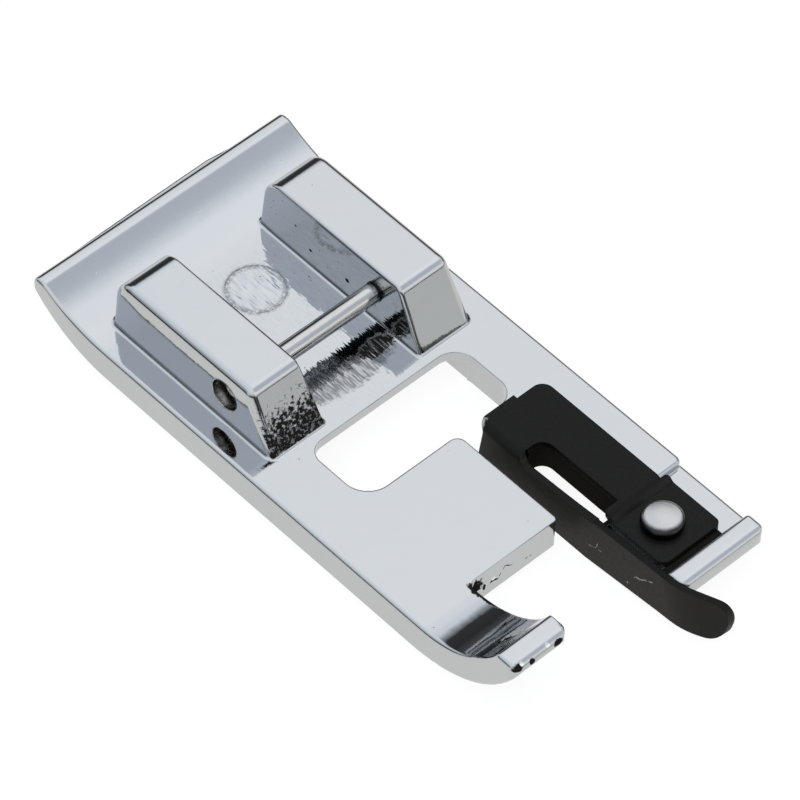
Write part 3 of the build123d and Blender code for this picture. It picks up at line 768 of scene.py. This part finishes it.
# Dimmer cloth high at the front right, with the match to its aim at which it begins
VEIL_AIM = (0.44, -0.5, 0.745)
VEIL_EDGE = 0.86
VEIL_LIGHT = (0.68, 0.71, 0.79)
# What the camera sees behind the sheet
BACKDROP = 0.97

# The sheet: its half size in metres, its gap below the part in millimetres, the light that its near and
# far parts send into the plating, and the distances in metres between which the one turns into the other
FLOOR_HALF = 1.5
FLOOR_GAP = 0.02
FLOOR_NEAR = (0.86, 0.84, 0.8, 1)
FLOOR_FAR = (0.66, 0.655, 0.62, 1)
FLOOR_TURN = (0.055, 0.08)
FLOOR_ROUGHNESS = 0.9

# The key light, in metres and watts, and the width of the camera's sensor in millimetres
KEY_PLACE = (-0.35, -0.1, 0.5)
KEY_SIZE = 0.4
KEY_POWER = 1.2
SENSOR_WIDTH = 36


def radiance_ramp(tree, rise, tint, stops):
    """Light of one side of the room against the height of the view direction."""
    made = tree.nodes.new("ShaderNodeValToRGB")
    tree.links.new(rise, made.inputs[0])
    table = made.color_ramp.elements
    table[0].position, table[1].position = stops[0][0], stops[-1][0]
    for height, _ in stops[1:-1]:
        table.new(height)
    for element, (_, level) in zip(table, stops):
        element.color = (*(level * part / LIFT for part in tint), 1)
    return made.outputs[0]


def make_world(scene):
    """Soft tent with dark gaps low at the back, the left and the right, and a bright wall at the front."""
    world = bpy.data.worlds.new("soft_tent")
    world.use_nodes = True
    tree = world.node_tree
    tree.nodes.clear()
    look = add_node(tree, "ShaderNodeTexCoord").outputs["Generated"]
    parts = add_node(tree, "ShaderNodeSeparateXYZ", {0: look}).outputs
    level = add_node(tree, "ShaderNodeCombineXYZ", {"X": parts["X"], "Y": parts["Y"]}).outputs[0]
    compass = vector_calc(tree, "NORMALIZE", level)
    colour = radiance_ramp(tree, parts["Z"], OPEN_TINT, OPEN_STOPS)
    for aim, half, rim, tint, stops in SIDES:
        turn = math.radians(aim)
        match = vector_calc(tree, "DOT_PRODUCT", compass, (math.sin(turn), math.cos(turn), 0), output=1)
        near = math.cos(math.radians(half))
        far = math.cos(math.radians(half + rim))
        side = radiance_ramp(tree, parts["Z"], tint, stops)
        colour = blend(tree, fade(tree, match, far, near), colour, side)
    veil = vector_calc(tree, "DOT_PRODUCT", look, Vector(VEIL_AIM).normalized(), output=1)
    dim = tuple(part / LIFT for part in VEIL_LIGHT)
    colour = blend(tree, fade(tree, veil, VEIL_EDGE, 1.0), colour, (*dim, 1))
    seen = add_node(tree, "ShaderNodeLightPath").outputs["Is Camera Ray"]
    colour = blend(tree, seen, colour, (BACKDROP / LIFT, BACKDROP / LIFT, BACKDROP / LIFT, 1))
    background = add_node(tree, "ShaderNodeBackground", {"Color": colour, "Strength": LIFT})
    output = tree.nodes.new("ShaderNodeOutputWorld")
    tree.links.new(background.outputs[0], output.inputs["Surface"])
    scene.world = world


def make_floor(studio):
    """Pale sheet of frosted acrylic, lit a little from below."""
    mesh = bpy.data.meshes.new("floor_sheet")
    z = cad_low.z - FLOOR_GAP * MM
    corners = [(x * FLOOR_HALF, y * FLOOR_HALF, z) for x, y in ((-1, -1), (1, -1), (1, 1), (-1, 1))]
    mesh.from_pydata(corners, [], [(0, 1, 2, 3)])
    floor = bpy.data.objects.new("floor_sheet", mesh)
    bpy.context.scene.collection.objects.link(floor)
    material, tree, shader = new_material("frosted_acrylic", 0.0, specular=0.0)
    albedo = studio.floor_albedo
    shader.inputs["Base Color"].default_value = (albedo, albedo, albedo, 1)
    shader.inputs["Roughness"].default_value = FLOOR_ROUGHNESS
    place = add_node(tree, "ShaderNodeTexCoord").outputs["Object"]
    reach = add_node(tree, "ShaderNodeVectorMath", {0: place}, operation="LENGTH").outputs[1]
    mirrored = blend(tree, fade(tree, reach, *FLOOR_TURN), FLOOR_NEAR, FLOOR_FAR)
    seen = add_node(tree, "ShaderNodeLightPath").outputs["Is Camera Ray"]
    glow = blend(tree, seen, mirrored, (1, 1, 1, 1))
    tree.links.new(glow, shader.inputs["Emission Color"])
    shader.inputs["Emission Strength"].default_value = studio.floor_glow
    mesh.materials.append(material)


def make_key():
    """Large soft light that lights the sheet and the black guide but leaves no hard shape in the plating."""
    light = bpy.data.lights.new("key_left", "AREA")
    light.shape = "SQUARE"
    light.size = KEY_SIZE
    light.energy = KEY_POWER
    lamp = bpy.data.objects.new("key_left", light)
    lamp.location = KEY_PLACE
    lamp.rotation_mode = "QUATERNION"
    lamp.rotation_quaternion = (-Vector(KEY_PLACE)).to_track_quat("-Z", "Y")
    lamp.visible_glossy = False
    lamp.visible_camera = False
    bpy.context.scene.collection.objects.link(lamp)


def make_camera(scene, studio):
    """The camera at the photograph's viewing angle."""
    azimuth, elevation, roll = studio.camera_azimuth, studio.camera_elevation, studio.camera_roll
    back = Vector((
        math.sin(azimuth) * math.cos(elevation),
        -math.cos(azimuth) * math.cos(elevation),
        math.sin(elevation),
    ))
    level_right = Vector((math.cos(azimuth), math.sin(azimuth), 0))
    level_up = back.cross(level_right)
    right = math.cos(roll) * level_right + math.sin(roll) * level_up
    up = back.cross(right)
    turn = Matrix((right, up, back)).transposed().to_4x4()
    data = bpy.data.cameras.new("photo_camera")
    data.lens = studio.camera_lens
    data.sensor_width = SENSOR_WIDTH
    data.clip_start = 0.01
    data.clip_end = 10
    camera = bpy.data.objects.new("photo_camera", data)
    camera.matrix_world = Matrix.Translation(studio.camera_place) @ turn
    scene.collection.objects.link(camera)
    scene.camera = camera


# Operators


class PRESSERFOOT_OT_plated_casting(bpy.types.Operator):
    """Finish the plated casting"""

    bl_idname = "presserfoot.plated_casting"
    bl_label = "Plated casting"

    def execute(self, context):
        dress("foot_body", make_plating(context.scene.foot_finish))
        return {"FINISHED"}


class PRESSERFOOT_OT_snap_pin(bpy.types.Operator):
    """Finish the cross pin"""

    bl_idname = "presserfoot.snap_pin"
    bl_label = "Cross pin"

    def execute(self, context):
        finish = context.scene.foot_finish
        colour = tuple(finish.pin_steel)
        steel = make_steel("drawn_pin_steel", colour, roughness=0.1, angle=0.0, shaded=PIN_SHADED)
        dress("snap_pin", steel)
        return {"FINISHED"}


class PRESSERFOOT_OT_edge_guide(bpy.types.Operator):
    """Finish the folded edge guide"""

    bl_idname = "presserfoot.edge_guide"
    bl_label = "Edge guide"

    def execute(self, context):
        dress("edge_guide", make_black(context.scene.guide_finish))
        return {"FINISHED"}


class PRESSERFOOT_OT_guide_rivet(bpy.types.Operator):
    """Finish the rivet"""

    bl_idname = "presserfoot.guide_rivet"
    bl_label = "Rivet"

    def execute(self, context):
        finish = context.scene.foot_finish
        colour = tuple(finish.rivet_steel)
        steel = make_steel("rivet_steel", colour, roughness=0.2, angle=0.9, core=RIVET_CORE)
        dress("guide_rivet", steel)
        return {"FINISHED"}


class PRESSERFOOT_OT_stage(bpy.types.Operator):
    """Build the floor, the soft light and the camera"""

    bl_idname = "presserfoot.stage"
    bl_label = "Stage"

    def execute(self, context):
        scene = context.scene
        scene.view_settings.view_transform = "Standard"
        make_world(scene)
        make_floor(scene.studio_settings)
        make_key()
        make_camera(scene, scene.studio_settings)
        return {"FINISHED"}


class PRESSERFOOT_PT_panel(bpy.types.Panel):
    """Sidebar panel with every step"""

    bl_label = "Presser foot"
    bl_idname = "PRESSERFOOT_PT_panel"
    bl_space_type = "VIEW_3D"
    bl_region_type = "UI"
    bl_category = "Presser foot"

    def draw(self, context):
        scene = context.scene
        for settings in (scene.foot_finish, scene.guide_finish, scene.studio_settings):
            box = self.layout.box()
            for name in settings.bl_rna.properties.keys():
                if name not in ("rna_type", "name"):
                    box.prop(settings, name)
        for step in steps:
            self.layout.operator(step.bl_idname)


steps = (
    PRESSERFOOT_OT_plated_casting,
    PRESSERFOOT_OT_snap_pin,
    PRESSERFOOT_OT_edge_guide,
    PRESSERFOOT_OT_guide_rivet,
    PRESSERFOOT_OT_stage,
)
classes = (FootFinish, GuideFinish, StudioSettings, *steps, PRESSERFOOT_PT_panel)


def register():
    """Registers the classes and their settings."""
    for item in classes:
        bpy.utils.register_class(item)
    bpy.types.Scene.foot_finish = bpy.props.PointerProperty(type=FootFinish)
    bpy.types.Scene.guide_finish = bpy.props.PointerProperty(type=GuideFinish)
    bpy.types.Scene.studio_settings = bpy.props.PointerProperty(type=StudioSettings)


def unregister():
    """Takes the settings and the classes away again."""
    del bpy.types.Scene.studio_settings
    del bpy.types.Scene.guide_finish
    del bpy.types.Scene.foot_finish
    for item in reversed(classes):
        bpy.utils.unregister_class(item)


def main():
    """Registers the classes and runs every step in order."""
    register()
    bpy.ops.presserfoot.plated_casting()
    bpy.ops.presserfoot.snap_pin()
    bpy.ops.presserfoot.edge_guide()
    bpy.ops.presserfoot.guide_rivet()
    bpy.ops.presserfoot.stage()


if __name__ == "__main__":
    main()
